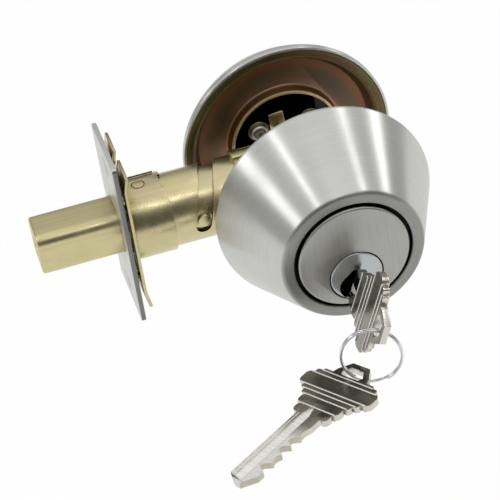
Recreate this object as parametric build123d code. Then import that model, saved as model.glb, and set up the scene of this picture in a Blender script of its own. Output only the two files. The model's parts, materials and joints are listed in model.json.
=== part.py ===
from build123d import *
import math
import os

# Door: the origin is where the cross bore meets the bolt's axis, in the middle of the door.
DOOR = 35.0
BACKSET = 60.3
FACE_OUT = -DOOR / 2
FACE_IN = DOOR / 2

# Spindle: plug, tailpiece, cam and thumbturn all turn on one axis along Y below the bolt's axis.
SPINDLE_Z = -6.8
KEY_TURN = 20.0

# Collar
COLLAR_R = 33.7
COLLAR_FRONT_R = 21.6
COLLAR_WALL = 1.6
COLLAR_HOLE_R = 18.0
COLLAR_FRONT = FACE_OUT - 28.3

# Cylinder body
FACE_R = 17.0
FACE_Y = COLLAR_FRONT - 0.6
BARREL_R = 16.6
FLANGE_R = 27.0
FLANGE_FRONT = -24.0
FLANGE_BACK = -20.5
SKIRT_R = 10.2
SKIRT_BORE_R = 8.6
BORE_END = -17.6
SKIRT_END = -11.2
POST_R = 3.4
POST_END = -9.0
SCREW_X = 17.0
SCREW_Z = -15.0
SCREW_R = 2.1

# Plug and pins
PLUG_FACE = FACE_Y - 0.2
PLUG_HEAD_R = 8.0
PLUG_R = 6.9
PLUG_END = -15.2
PINS = 5
PIN_STEP = 3.95
COVER_Z = 13.4
TENON = 6.0

# Key: places along it run from the shoulder, toward the bow as positive
KEY_T = 2.1
KEY_Y = PLUG_FACE - 1.2
FIRST_CUT = 6.5
BLADE_LOW = -6.6
BLADE_HIGH = 1.6
BLADE_MID = (BLADE_LOW + BLADE_HIGH) / 2
BLADE_L = 31.0
CUT_DEPTHS = (0.7, 2.2, 2.4, 0.9, 2.4)
CHANNEL_Z = BLADE_MID - 1.0
CHANNEL_HALF = 1.5
CHANNEL_TIP = 4.8
LINE_Z = BLADE_MID - 3.35
BOW_STEPS = (
    (-0.1, 3.6, 6.3), (3.4, 7.3, 7.6), (7.1, 9.3, 8.9), (9.1, 11.0, 10.5),
    (10.8, 16.2, 13.1), (15.9, 17.9, 11.1), (17.7, 18.8, 9.1),
)
BOW_RIBS = ((3.5, 6.7), (7.2, 8.1), (9.2, 9.8), (10.85, 12.0), (16.05, 11.8), (17.8, 9.4))
LOOP_END = 24.45
HOLE_NEAR = 18.75
HOLE_FAR = 22.6

# Ring and the key that hangs on it
RING_R = 8.7
WIRE_R = 0.42
COIL_GAP = 0.40
RING_MIDDLE = (-4.36, -68.48, -18.51)
RING_AXIS = (0.3114, 0.9405, -0.136)
HUNG_AT = (-9.38, -67.40, -25.05)
HUNG_HOLE_U = 21.2
HUNG_UP = (-0.059, 0.0832, 0.9948)
HUNG_CUTS = (0.5344, -0.8391, 0.1019)

# Latch
PLATE_T = 1.5
PLATE_W = 28.0
PLATE_H = 57.0
PLATE_HOLES = 42.9
PLATE_HOLE_R = 2.3
SINK_R = 3.9
SINK_DEEP = 1.0
BACKING_HALF = 24.2
THROW = 25.4
BOLT_W = 15.0
BOLT_H = 14.0
BOLT_CORNER = 3.2
BOLT_END = -BACKSET - THROW
BOLT_REAR = -47.0
SLEEVE_REAR = -44.5
TUBE_R = 11.4
TUBE_REAR = -22.0
TWIST_X = -35.85
TWIST_FROM = -6.6
TWIST_TURN = 188.0
TWIST_PITCH = 19.1
TWIST_HALF = 2.35
STOP_X = -35.4
STOP_AT = 3.0
CASE_STEP = -19.5
CASE_REAR = 19.2
CASE_WALL = 0.8
CAM_ARM = 16.4
CAM_PIN_R = 1.2
HUB_R = 3.9
TAIL_Y0 = 1.0
TAIL_Y1 = 3.5
SLOT_HALF = 2.55

# Rose and thumbturn
ROSE_R = 33.9
ROSE_FACE = 28.5
ROSE_WALL = 0.8
BUSH_FRONT = 19.8
TURN_HUB_R = 6.2
LEVER = 38.0


def rod_x(radius, x0, x1, y=0.0, z=0.0):
    return Pos((x0 + x1) / 2, y, z) * Rot(0, 90, 0) * Cylinder(radius, x1 - x0)


def rod_y(radius, y0, y1, x=0.0, z=0.0):
    return Pos(x, (y0 + y1) / 2, z) * Rot(90, 0, 0) * Cylinder(radius, y1 - y0)


def rod_z(radius, z0, z1, x=0.0, y=0.0):
    return Pos(x, y, (z0 + z1) / 2) * Cylinder(radius, z1 - z0)


def block(x0, x1, y0, y1, z0, z1):
    return Pos((x0 + x1) / 2, (y0 + y1) / 2, (z0 + z1) / 2) * Box(x1 - x0, y1 - y0, z1 - z0)


def prism_x(face, x0, x1):
    return Pos(x0, 0, 0) * extrude(Plane.YZ * face, amount=x1 - x0)


def prism_y(face, y0, y1):
    return Pos(0, y1, 0) * extrude(Plane.XZ * face, amount=y1 - y0)


def outline(*points):
    return make_face(Polyline(*points, close=True))


def rounded_at(face, x, y, radius):
    return fillet(face.vertices().sort_by_distance((x, y, 0))[0], radius)


def turned(face):
    return revolve(face, axis=Axis.Y)


def on_spindle(shape):
    return Pos(0, 0, SPINDLE_Z) * shape


def with_key(shape):
    return on_spindle(Rot(0, KEY_TURN, 0) * shape)


def wedge(centre, half):
    """Flat fan of given half angle, measured from up toward +X."""
    steps = max(2, math.ceil(half / 20))
    angles = [math.radians(centre - half + 2 * half * i / steps) for i in range(steps + 1)]
    return outline((0, 0), *[(60 * math.sin(a), 60 * math.cos(a)) for a in angles])


def sector(r0, r1, y0, y1, centre, half):
    ring = rod_y(r1, y0, y1) - rod_y(r0, y0 - 1, y1 + 1)
    return ring & prism_y(wedge(centre, half), y0, y1)


def radial(shape, angle):
    """Turns a shape built upward about the bolt's axis; 0 faces outside, 90 is up."""
    return Rot(90 - angle, 0, 0) * shape


def pin_ys():
    return [KEY_Y + FIRST_CUT + PIN_STEP * i for i in range(PINS)]


def post_places():
    return [(-SCREW_X, SCREW_Z), (SCREW_X, SCREW_Z)]


def cylinder_collar():
    back = FACE_OUT
    front = COLLAR_FRONT
    inside = COLLAR_R - COLLAR_WALL
    face = outline(
        (inside, back),
        (COLLAR_R, back),
        (COLLAR_R, back - 1.2),
        (COLLAR_FRONT_R, front),
        (COLLAR_HOLE_R, front),
        (COLLAR_HOLE_R, front + COLLAR_WALL),
        (COLLAR_FRONT_R - 1.2, front + COLLAR_WALL),
        (inside, back - 1.4),
    )
    face = rounded_at(face, COLLAR_FRONT_R, front, 1.6)
    face = rounded_at(face, COLLAR_HOLE_R, front, 0.4)
    face = rounded_at(face, COLLAR_R, back, 0.6)
    return turned(face)


def collar_ring():
    ring = rod_y(31.0, FLANGE_BACK, FACE_OUT) - rod_y(24.6, FLANGE_BACK - 1, FACE_OUT + 1)
    spigot = rod_y(26.6, FACE_OUT - 1, FACE_OUT + 3) - rod_y(24.6, FACE_OUT - 2, FACE_OUT + 4)
    ring += spigot
    for x, z in post_places():
        ring -= rod_y(POST_R + 0.4, FLANGE_BACK - 1, FACE_OUT + 4, x, z)
    return ring


def cylinder_body():
    shoulder = COLLAR_FRONT + COLLAR_WALL
    face = outline(
        (0, FLANGE_BACK),
        (0, FACE_Y),
        (FACE_R, FACE_Y),
        (FACE_R, shoulder),
        (19.5, shoulder),
        (19.5, shoulder + 2.6),
        (BARREL_R, shoulder + 2.6),
        (BARREL_R, FLANGE_FRONT),
        (FLANGE_R, FLANGE_FRONT),
        (FLANGE_R, FLANGE_BACK),
    )
    body = turned(rounded_at(face, FACE_R, FACE_Y, 0.8))
    body += on_spindle(rod_y(SKIRT_R, FLANGE_BACK - 1, SKIRT_END))
    for x, z in post_places():
        body += rod_y(POST_R, FLANGE_BACK - 1, POST_END, x, z)
        body -= rod_y(SCREW_R + 0.05, FLANGE_FRONT + 1, POST_END + 1, x, z)
    body -= on_spindle(rod_y(PLUG_HEAD_R + 0.3, FACE_Y - 1, FACE_Y + 3.0))
    body -= on_spindle(rod_y(PLUG_R + 0.06, FACE_Y, BORE_END + 1))
    body -= on_spindle(rod_y(SKIRT_BORE_R, BORE_END, SKIRT_END + 1))
    body -= block(-2.4, 2.4, shoulder + 1.0, FLANGE_FRONT + 1.4, COVER_Z, 20.0)
    for y in pin_ys():
        body -= rod_z(1.5, SPINDLE_Z + 5.5, COVER_Z + 0.5, 0, y)
    return body


def chamber_cover():
    shoulder = COLLAR_FRONT + COLLAR_WALL
    return block(-2.35, 2.35, shoulder + 1.05, FLANGE_FRONT + 1.35, COVER_Z, COVER_Z + 1.1)


def driver_pins():
    low = SPINDLE_Z + PLUG_R + 0.15
    return [rod_z(1.4, low, low + 4.4, 0, y) for y in pin_ys()]


def pin_springs():
    low = SPINDLE_Z + PLUG_R + 4.8
    coil = Helix(pitch=1.45, height=COVER_Z - 0.25 - low, radius=1.05)
    wire = sweep(Plane(coil @ 0, z_dir=coil % 0) * Circle(0.2), path=coil, is_frenet=True)
    return [Pos(0, y, low) * wire for y in pin_ys()]


def plug():
    body = rod_y(PLUG_R, FACE_Y, PLUG_END)
    head = rod_y(PLUG_HEAD_R, PLUG_FACE, FACE_Y + 2.9)
    head = fillet(head.edges().sort_by(Axis.Y)[0], 0.5)
    body += head
    body += block(-TENON / 2, TENON / 2, PLUG_END - 1, PLUG_END + 1.5, -TENON / 2, TENON / 2)
    body -= block(-1.25, 1.25, PLUG_FACE - 1, PLUG_END - 0.2, BLADE_LOW - 0.7, BLADE_HIGH + 0.3)
    body -= rod_y(4.0, PLUG_FACE - 1, PLUG_FACE + 2.6, 0, -3.6)
    body -= rod_y(PLUG_R + 1, -17.3, -16.4) - rod_y(6.0, -18, -16)
    for y in pin_ys():
        body -= rod_z(1.45, 0, PLUG_R + 1, 0, y)
    return with_key(body)


def key_pins():
    low = BLADE_HIGH + 0.35
    pins = []
    for y in pin_ys():
        pin = rod_z(1.35, low + 0.8, PLUG_R - 0.4, 0, y)
        pin += Pos(0, y, low + 0.4) * Cone(0.5, 1.35, 0.8)
        pins.append(with_key(pin))
    return pins


def plug_clip():
    return with_key(sector(6.05, 8.3, -17.25, -16.45, 0, 150))


def plug_driver():
    disc = rod_y(8.0, PLUG_END + 0.05, PLUG_END + 1.65)
    hole = TENON / 2 + 0.03
    disc -= block(-hole, hole, PLUG_END - 1, PLUG_END + 3, -hole, hole)
    disc += sector(3.9, 8.0, PLUG_END + 1.6, PLUG_END + 3.3, -117 - KEY_TURN, 75)
    return with_key(disc)


def tailpiece():
    head = rod_y(3.4, PLUG_END + 2.0, PLUG_END + 3.3)
    head += sector(3.0, 8.0, PLUG_END + 2.0, PLUG_END + 3.3, 0, 40)
    head += block(-3.1, 3.1, PLUG_END + 3.0, 27.0, -1.0, 1.0)
    return on_spindle(head)


def tailpiece_cap():
    return on_spindle(rod_y(SKIRT_R, SKIRT_END, SKIRT_END + 1.2) - rod_y(3.6, SKIRT_END - 1, SKIRT_END + 2))


def mirrored(half):
    """Closed outline from points on one side of the key's middle line."""
    left = [(-u, BLADE_MID - v) for u, v in half]
    right = [(-u, BLADE_MID + v) for u, v in reversed(half)]
    return outline(*left, *right)


def blade_edge():
    tip = BLADE_L
    edge = [(-1.0, BLADE_LOW), (tip - 2.2, BLADE_LOW), (tip, BLADE_MID - 0.6), (tip, BLADE_MID + 1.2)]
    edge += [(tip - 0.8, BLADE_MID + 1.6), (tip - 4.4, BLADE_HIGH - 0.1)]
    for i in reversed(range(PINS)):
        middle = FIRST_CUT + PIN_STEP * i
        low = BLADE_HIGH - CUT_DEPTHS[i]
        edge += [(middle + 1.8, BLADE_HIGH - 0.2), (middle + 0.6, low), (middle - 0.6, low)]
    return outline(*edge, (3.6, BLADE_HIGH), (-1.0, BLADE_HIGH))


def channel():
    far = BLADE_L - 1.2
    return outline(
        (far, CHANNEL_Z - CHANNEL_HALF), (far, CHANNEL_Z + CHANNEL_HALF), (0.4, CHANNEL_Z + CHANNEL_HALF),
        (-CHANNEL_TIP, CHANNEL_Z), (0.4, CHANNEL_Z - CHANNEL_HALF),
    )


def key_blank():
    """Key about the plug's axis, bow toward -Y, cuts up."""
    bow = mirrored([(18.4, 6.3), (20.5, 5.7), (LOOP_END, 3.1)])
    for start, end, half in BOW_STEPS:
        corner = min(1.6, 0.4 * (end - start))
        bow += Pos(-(start + end) / 2, BLADE_MID) * RectangleRounded(end - start, 2 * half, corner)
    flat = bow + blade_edge()
    flat -= mirrored([(HOLE_NEAR, 3.1), (20.0, 3.8), (HOLE_FAR, 2.2)])
    blank = extrude(Plane.YZ * flat, amount=KEY_T / 2, both=True)
    line = Pos((BLADE_L - 4) / 2, LINE_Z) * Rectangle(BLADE_L - 4, 0.55)
    for side in (-1, 1):
        face = Pos(side * KEY_T / 2, 0, 0)
        blank -= face * extrude(Plane.YZ * channel(), amount=0.45, both=True)
        blank -= face * extrude(Plane.YZ * line, amount=0.3, both=True)
        for u, half in BOW_RIBS:
            blank += face * block(-0.2, 0.2, -u - 0.25, -u + 0.25, BLADE_MID - half, BLADE_MID + half)
    return Pos(0, KEY_Y, 0) * blank


def key():
    return with_key(key_blank())


def key_ring():
    coils = Pos(0, 0, -COIL_GAP) * Torus(RING_R, WIRE_R) + Pos(0, 0, COIL_GAP) * Torus(RING_R, WIRE_R)
    return Plane(origin=RING_MIDDLE, z_dir=RING_AXIS) * coils


def spare_key():
    frame = Plane(origin=HUNG_AT, x_dir=HUNG_UP, z_dir=HUNG_CUTS)
    return frame * Pos(0, HUNG_HOLE_U - KEY_Y, -BLADE_MID) * key_blank()


def plate_holes():
    return [-PLATE_HOLES / 2, PLATE_HOLES / 2]


def faceplate():
    x = -BACKSET
    plate = prism_x(RectangleRounded(PLATE_W, PLATE_H, 1.2), x, x + PLATE_T)
    plate -= prism_x(RectangleRounded(BOLT_W + 0.6, BOLT_H + 0.6, BOLT_CORNER + 0.3), x - 1, x + 3)
    for z in plate_holes():
        plate -= rod_x(PLATE_HOLE_R, x - 1, x + 3, 0, z)
        plate -= Pos(x + SINK_DEEP / 2, 0, z) * Rot(0, 90, 0) * Cone(SINK_R, PLATE_HOLE_R, SINK_DEEP)
    return plate


def backing_plate():
    """Formed plate held off the faceplate by four dimples, its notched ends bent away from it."""
    x = -BACKSET + PLATE_T + 0.9
    half = BACKING_HALF
    profile = outline(
        (x, -19.2), (x, 19.2), (x + 1.0, half), (x + 2.0, half - 0.2), (x + 1.0, 18.8),
        (x + 1.0, -18.8), (x + 2.0, 0.2 - half), (x + 1.0, -half),
    )
    plate = prism_y(profile, -PLATE_W / 2 + 0.6, PLATE_W / 2 - 0.6)
    notch = PLATE_HOLE_R + 0.2
    for z in plate_holes():
        end = math.copysign(half + 2, z)
        plate -= rod_x(notch, x - 2, x + 4, 0, z)
        plate -= block(x - 2, x + 4, -notch, notch, min(z, end), max(z, end))
    for y in (-9.6, 9.6):
        for z in (-14.5, 14.5):
            plate += rod_x(1.5, -BACKSET + PLATE_T, x + 0.5, y, z)
    return plate - rod_x(10.0, x - 1, x + 3)


def front_sleeve():
    front = -BACKSET + PLATE_T + 1.9
    sleeve = rod_x(12.3, front, SLEEVE_REAR) - rod_x(TUBE_R + 0.05, front - 1, SLEEVE_REAR + 1)
    sleeve += radial(block(-55.2, -46.0, -2.4, 2.4, 11.8, 12.75), 125)
    sleeve -= radial(block(SLEEVE_REAR - 0.8, SLEEVE_REAR + 1, -3.0, 3.0, 10, 14), 85.5)
    for angle in (89, 269):
        sleeve -= radial(rod_z(2.0, 10, 14, -51.8, 0), angle)
    sleeve -= rod_x(TUBE_R + 0.05, front - 1, SLEEVE_REAR + 1)
    return sleeve


def sleeve_rivets():
    return [radial(rod_z(1.85, 11.42, 12.3, -51.8, 0), angle) for angle in (89, 269)]


def twist_slot():
    """Cuts for a helical slot around the bolt's axis: the twist, then its two round ends."""
    height = TWIST_PITCH * TWIST_TURN / 360
    half = TWIST_HALF * math.cos(math.atan(TWIST_PITCH / (2 * math.pi * TUBE_R)))
    path = Helix(pitch=TWIST_PITCH, height=height, radius=TUBE_R, lefthand=True)
    start = Plane(origin=path @ 0, x_dir=(1, 0, 0), z_dir=path % 0)
    twist = sweep(start * Rectangle(3.0, 2 * half), path=path, is_frenet=True)
    about_bolt = Plane(origin=(TWIST_X, 0, 0), x_dir=(0, -1, 0), z_dir=(1, 0, 0))
    cuts = [about_bolt * Rot(0, 0, -TWIST_FROM) * twist]
    for x, angle in ((TWIST_X, TWIST_FROM), (TWIST_X + height, TWIST_FROM + TWIST_TURN)):
        cuts.append(radial(rod_z(half, TUBE_R - 1.5, TUBE_R + 1.5, x, 0), angle))
    return cuts


def latch_tube():
    front = -BACKSET + PLATE_T + 1.9
    tube = rod_x(TUBE_R, front, TUBE_REAR) - rod_x(10.5, front - 1, TUBE_REAR + 1)
    for cut in twist_slot():
        tube -= cut
    return tube


def inner_tube():
    tube = rod_x(10.4, -50, TUBE_REAR) - rod_x(9.7, -51, TUBE_REAR + 1)
    return tube - radial(rod_z(1.2, 8, 12, STOP_X, 0), STOP_AT)


def backset_pin():
    pin = rod_z(2.0, 10.42, 11.5, STOP_X, 0) + rod_z(1.15, 9.75, 10.6, STOP_X, 0)
    return radial(pin, STOP_AT)


def latch_case():
    wall = CASE_WALL
    front = prism_x(RectangleRounded(20.0, 24.4, 8.0), TUBE_REAR, CASE_STEP)
    rear = prism_x(RectangleRounded(14.0, 24.8, 5.0), CASE_STEP, CASE_REAR)
    case = front + rear
    front_in = RectangleRounded(20.0 - 2 * wall, 24.4 - 2 * wall, 8.0 - wall)
    rear_in = RectangleRounded(14.0 - 2 * wall, 24.8 - 2 * wall, 5.0 - wall)
    case -= prism_x(front_in, TUBE_REAR + wall, CASE_STEP - wall)
    case -= prism_x(rear_in, CASE_STEP - wall - 0.1, CASE_REAR - wall)
    case -= rod_x(9.7, TUBE_REAR - 1, TUBE_REAR + wall)
    case -= on_spindle(rod_y(HUB_R + 0.08, -12, 12))
    for x, z in rivet_places():
        case -= rod_y(1.25, -8, 8, x, z)
    return case


def rivet_places():
    return [(-16.4, -5.4), (15.4, -5.4)]


def case_half(side):
    return latch_case() & block(-40, 30, min(0, 20 * side), max(0, 20 * side), -20, 20)


def case_rivets():
    rivets = []
    for x, z in rivet_places():
        rivets.append(rod_y(1.2, -7.5, 7.5, x, z) + rod_y(2.1, -7.6, -7.0, x, z) + rod_y(2.1, 7.0, 7.6, x, z))
    return rivets


def bolt():
    bar = prism_x(RectangleRounded(BOLT_W, BOLT_H, BOLT_CORNER), BOLT_END, BOLT_REAR)
    bar = chamfer(bar.faces().sort_by(Axis.X)[0].edges(), 0.5)
    bar -= rod_x(3.0, BOLT_END - 1, -62.0)
    bar -= block(-55.05, BOLT_REAR + 1, TAIL_Y0 - 0.05, TAIL_Y1 + 0.05, -1.05, 4.55)
    return bar - rod_y(1.55, -9, 9, -51.0, 1.75)


def bolt_insert():
    return rod_x(2.95, BOLT_END + 1.0, -62.05)


def bolt_tail():
    slot = BOLT_END + 73.0
    wing = SLOT_HALF + 2.2
    tail = block(-55.0, slot, TAIL_Y0, TAIL_Y1, -1.0, 4.5)
    tail += block(slot - wing, slot + wing, TAIL_Y0, TAIL_Y1, -1.0, 10.9)
    tail -= block(slot - SLOT_HALF, slot + SLOT_HALF, TAIL_Y0 - 1, TAIL_Y1 + 1, 3.2, 12)
    return tail - rod_y(1.55, -9, 9, -51.0, 1.75)


def tail_rivet():
    return rod_y(1.5, -7.5, 7.5, -51.0, 1.75)


def bolt_cam():
    tip = 1.8
    arm = outline((-HUB_R, 0), (-tip, CAM_ARM), (tip, CAM_ARM), (HUB_R, 0))
    cam = prism_y(arm, -2.2, 0.7) + rod_y(tip, -2.2, 0.7, 0, CAM_ARM)
    cam -= rod_y(CAM_PIN_R, -3, 2, 0, CAM_ARM)
    cam = Rot(0, -45, 0) * cam + rod_y(HUB_R, -6.9, 6.9)
    return on_spindle(cam - block(-3.15, 3.15, -8, 8, -1.05, 1.05))


def cam_pin():
    return on_spindle(Rot(0, -45, 0) * rod_y(CAM_PIN_R, -2.2, TAIL_Y1, 0, CAM_ARM))


def rose_cover():
    w = ROSE_WALL
    face = outline(
        (0, ROSE_FACE - w), (28.2, ROSE_FACE - w), (31.2, 23.0), (ROSE_R - w, 19.5), (ROSE_R - w, FACE_IN),
        (ROSE_R, FACE_IN), (ROSE_R, 19.7), (32.0, 23.2), (28.6, ROSE_FACE), (0, ROSE_FACE),
    )
    face = rounded_at(face, 28.6, ROSE_FACE, 1.2)
    face = rounded_at(face, 32.0, 23.2, 3.0)
    face = rounded_at(face, ROSE_R, 19.7, 2.0)
    cover = turned(face) - on_spindle(rod_y(TURN_HUB_R + 0.6, 20, 40))
    for x, z in post_places():
        cover -= rod_y(SCREW_R + 0.3, 20, 40, x, z)
    return cover


def rose_backing():
    y = FACE_IN
    face = outline(
        (33.0, y), (30.9, y), (30.6, y + 0.9), (29.8, y + 1.2), (27.9, y + 4.6), (18.7, y + 4.6),
        (17.9, y + 1.3), (17.0, y + 1.3), (17.0, y + 2.2), (17.2, y + 2.2), (17.9, y + 5.5),
        (28.5, y + 5.5), (30.4, y + 2.1), (31.2, y + 1.8), (31.5, y + 0.9), (33.0, y + 0.9),
    )
    plate = turned(face)
    for x, z in post_places():
        plate -= rod_y(SCREW_R + 0.3, 10, 40, x, z)
    return plate


def bush_places():
    return [(-8.5, 5.9), (8.5, 5.9)]


def thumbturn_bush():
    flange = FACE_IN + 5.5
    bush = rod_y(16.8, BUSH_FRONT, flange + 0.5) + rod_y(20.0, flange, ROSE_FACE - ROSE_WALL)
    bush -= on_spindle(rod_y(TURN_HUB_R + 0.08, 10, 40))
    for x, z in bush_places():
        bush -= rod_y(1.55, BUSH_FRONT - 1, 27.2, x, z)
    return bush


def bush_screws():
    screws = []
    for x, z in bush_places():
        head = fillet(rod_y(2.8, 17.2, 19.2).edges().sort_by(Axis.Y)[0], 1.1)
        screw = head + rod_y(1.5, 19.0, 27.0) - rod_y(0.9, 16, 18.3)
        screws.append(Pos(x, 0, z) * screw)
    return screws


def bush_washers():
    washer = rod_y(3.35, 19.2, BUSH_FRONT) - rod_y(1.6, 18, 21)
    return [Pos(x, 0, z) * washer for x, z in bush_places()]


def detent_spring():
    leaf = block(-2.35, 2.35, BUSH_FRONT - 0.5, BUSH_FRONT, -8.4, -2.0)
    leaf += block(-2.35, 2.35, BUSH_FRONT - 2.9, BUSH_FRONT, -2.5, -2.0)
    leaf += block(-2.35, 2.35, BUSH_FRONT - 2.9, BUSH_FRONT - 2.4, -2.5, 2.3)
    return Pos(-2.75, 0, 10.3) * Rot(0, -6, 0) * leaf


def mounting_screws():
    screws = []
    for x, z in post_places():
        head = fillet(rod_y(3.6, ROSE_FACE, ROSE_FACE + 1.5).edges().sort_by(Axis.Y)[-1], 0.7)
        head -= block(-2.4, 2.4, ROSE_FACE + 0.8, ROSE_FACE + 3, -0.4, 0.4)
        head -= block(-0.4, 0.4, ROSE_FACE + 0.8, ROSE_FACE + 3, -2.4, 2.4)
        screws.append(Pos(x, 0, z) * (head + rod_y(SCREW_R, -20.0, ROSE_FACE + 0.5)))
    return screws


def thumbturn():
    hub = rod_y(TURN_HUB_R, 16.6, 32.0)
    hub -= rod_y(TURN_HUB_R + 1, 18.4, 19.3) - rod_y(5.3, 18, 20)
    disc = fillet(rod_y(10.0, ROSE_FACE + 0.3, 31.2).edges().sort_by(Axis.Y)[-1], 0.8)
    lever = extrude(Plane.XZ * RectangleRounded(LEVER, 9.4, 4.6), amount=-16.0, taper=6)
    lever = Pos(0, 30.6, 0) * fillet(lever.faces().sort_by(Axis.Y)[-1].edges(), 1.4)
    turn = hub + disc + lever
    return on_spindle(turn - block(-3.15, 3.15, 16, 27.2, -1.05, 1.05))


def thumbturn_clip():
    return on_spindle(sector(5.35, 8.0, 18.45, 19.25, 0, 150))


PARTS = {
    "cylinder_collar": cylinder_collar(),
    "collar_ring": collar_ring(),
    "cylinder_body": cylinder_body(),
    "chamber_cover": chamber_cover(),
    "driver_pins": driver_pins(),
    "pin_springs": pin_springs(),
    "tailpiece_cap": tailpiece_cap(),
    "plug": plug(),
    "key_pins": key_pins(),
    "plug_clip": plug_clip(),
    "plug_driver": plug_driver(),
    "key": key(),
    "key_ring": key_ring(),
    "spare_key": spare_key(),
    "faceplate": faceplate(),
    "backing_plate": backing_plate(),
    "front_sleeve": front_sleeve(),
    "sleeve_rivets": sleeve_rivets(),
    "latch_tube": latch_tube(),
    "inner_tube": inner_tube(),
    "backset_pin": backset_pin(),
    "case_front": case_half(-1),
    "case_back": case_half(1),
    "case_rivets": case_rivets(),
    "bolt": bolt(),
    "bolt_insert": bolt_insert(),
    "bolt_tail": bolt_tail(),
    "tail_rivet": tail_rivet(),
    "thumbturn": thumbturn(),
    "thumbturn_clip": thumbturn_clip(),
    "tailpiece": tailpiece(),
    "bolt_cam": bolt_cam(),
    "cam_pin": cam_pin(),
    "rose_cover": rose_cover(),
    "rose_backing": rose_backing(),
    "thumbturn_bush": thumbturn_bush(),
    "bush_screws": bush_screws(),
    "bush_washers": bush_washers(),
    "detent_spring": detent_spring(),
    "mounting_screws": mounting_screws(),
}

os.makedirs("parts", exist_ok=True)
for name, shape in PARTS.items():
    if isinstance(shape, list):
        shape = Compound(children=shape)
    export_step(shape, "parts/" + name + ".step")
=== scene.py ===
import json
import math

import bmesh
import bpy
from bpy.props import FloatProperty, FloatVectorProperty, IntProperty, PointerProperty
from mathutils import Matrix, Vector


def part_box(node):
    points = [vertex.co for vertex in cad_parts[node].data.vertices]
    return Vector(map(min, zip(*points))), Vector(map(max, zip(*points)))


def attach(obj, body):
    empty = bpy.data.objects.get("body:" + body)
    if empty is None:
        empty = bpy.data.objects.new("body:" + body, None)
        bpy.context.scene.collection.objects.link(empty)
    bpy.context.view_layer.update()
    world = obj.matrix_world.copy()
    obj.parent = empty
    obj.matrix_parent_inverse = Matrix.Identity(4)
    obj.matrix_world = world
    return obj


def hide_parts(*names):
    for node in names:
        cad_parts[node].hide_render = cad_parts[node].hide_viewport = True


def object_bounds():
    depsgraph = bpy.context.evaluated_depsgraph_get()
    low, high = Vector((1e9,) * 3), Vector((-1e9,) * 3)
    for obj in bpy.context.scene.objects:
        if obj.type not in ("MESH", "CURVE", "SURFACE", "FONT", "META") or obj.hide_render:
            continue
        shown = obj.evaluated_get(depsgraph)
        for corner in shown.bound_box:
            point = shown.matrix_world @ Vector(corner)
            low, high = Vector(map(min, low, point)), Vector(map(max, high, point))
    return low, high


bl_info = {
    "name": "Deadbolt lock dressing",
    "version": (1, 0, 0),
    "blender": (4, 5, 0),
    "location": "3D View > Sidebar > Lock",
    "description": "Shapes and finishes of a deadbolt door lock with its keys",
    "category": "Object",
}

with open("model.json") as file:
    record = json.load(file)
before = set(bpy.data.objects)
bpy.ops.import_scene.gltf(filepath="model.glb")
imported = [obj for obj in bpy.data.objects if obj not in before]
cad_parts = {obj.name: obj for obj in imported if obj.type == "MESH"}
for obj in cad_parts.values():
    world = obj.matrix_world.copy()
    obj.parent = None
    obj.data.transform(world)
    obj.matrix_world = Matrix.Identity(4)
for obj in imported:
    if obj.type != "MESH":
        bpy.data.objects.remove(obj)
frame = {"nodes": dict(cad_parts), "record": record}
CAD_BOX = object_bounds()
NODES = frame["nodes"]
BODY_OF = {node: body for body, members in frame["record"]["behaviour"]["bodies"].items() for node in members}

# Height of the spindle, turn of the key in the plug, and depth of that key's shoulder
SPINDLE_Z = -0.0068
KEY_TURN = math.radians(20.0)
KEY_SHOULDER = -0.0478

# Hung key: middle of its hole, normal of its flat side, way its cuts point, and the hole's place
# along and across the key from its shoulder
HUNG_AT = Vector((-0.00938, -0.06740, -0.02505))
HUNG_UP = Vector((-0.059, 0.0832, 0.9948))
HUNG_CUTS = Vector((0.5344, -0.8391, 0.1019))
HUNG_HOLE = 0.0212
BLADE_MIDDLE = -0.0025

# Split ring: its middle, its axis, and a roll that keeps the step between the coils off the keys
RING_MIDDLE = Vector((-0.00436, -0.06848, -0.01851))
RING_AXIS = Vector((0.3114, 0.9405, -0.136))
RING_ROLL = math.radians(-118)
RING_STEP = math.radians(64)
RING_STEP_COUNT = 16
RING_COIL_STEPS = 90
WIRE_SIDES = 14

# Zones of a key, and their bounds along it, across it and off the middle of its thickness
KEY_ZONES = ("channel", "blade", "rib_wear_and_sheen", "cut", "side")
BLADE_START = -0.0008
BLADE_FADE = (-0.0035, -0.0100)
CUTS_START = -0.003
CUTS_FLOOR = -0.0018
CHANNEL_TOP = 0.0009
RIB_TOP = 0.00112
RIB_EDGE = 0.00115

# Radii of the collar at its brow, its mouth and its inside bend, and depths over which painted shade darkens
# its front ring
COLLAR_BROW = 0.0216
COLLAR_MOUTH = 0.0180
COLLAR_BEND = 0.0204
COLLAR_SHADE_DEPTHS = (-0.0448, -0.0456)

# Cylinder: depth of its face's own finish, end of the gap painted dark as shade, and radius past which its
# rim is rounded
FACE_DEPTH = 0.0008
GAP_END = -0.0400
RIM_REACH = 0.0165

# Tubes of the latch: radius of the inner wall, of the sleeve's own end, and the stretch whose cut walls get
# painted shade
TUBE_INNER = 0.0104
SLEEVE_OUTER = 0.0124
SLEEVE_END = -0.0455
CUT_STRETCH = (-0.056, -0.0225)

# Radii between which the rose's tints run, the usual reach of a noise, and the Mix node's colour sockets
ROSE_BANDS = (0.0165, 0.0335)
NOISE_REACH = (0.3, 0.7)
MIX_A, MIX_B, MIX_RESULT = 6, 7, 2

FLOOR_SIZE = 6.0
FLOOR_WHITE = 0.97
LAMP_DISTANCE = 1.1


def colour_prop(name, description, default):
    return FloatVectorProperty(
        name=name, description=description, subtype="COLOR", size=3, min=0.0, max=1.0, default=default)


def length_prop(name, description, default):
    return FloatProperty(
        name=name, description=description, subtype="DISTANCE", unit="LENGTH", default=default)


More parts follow.
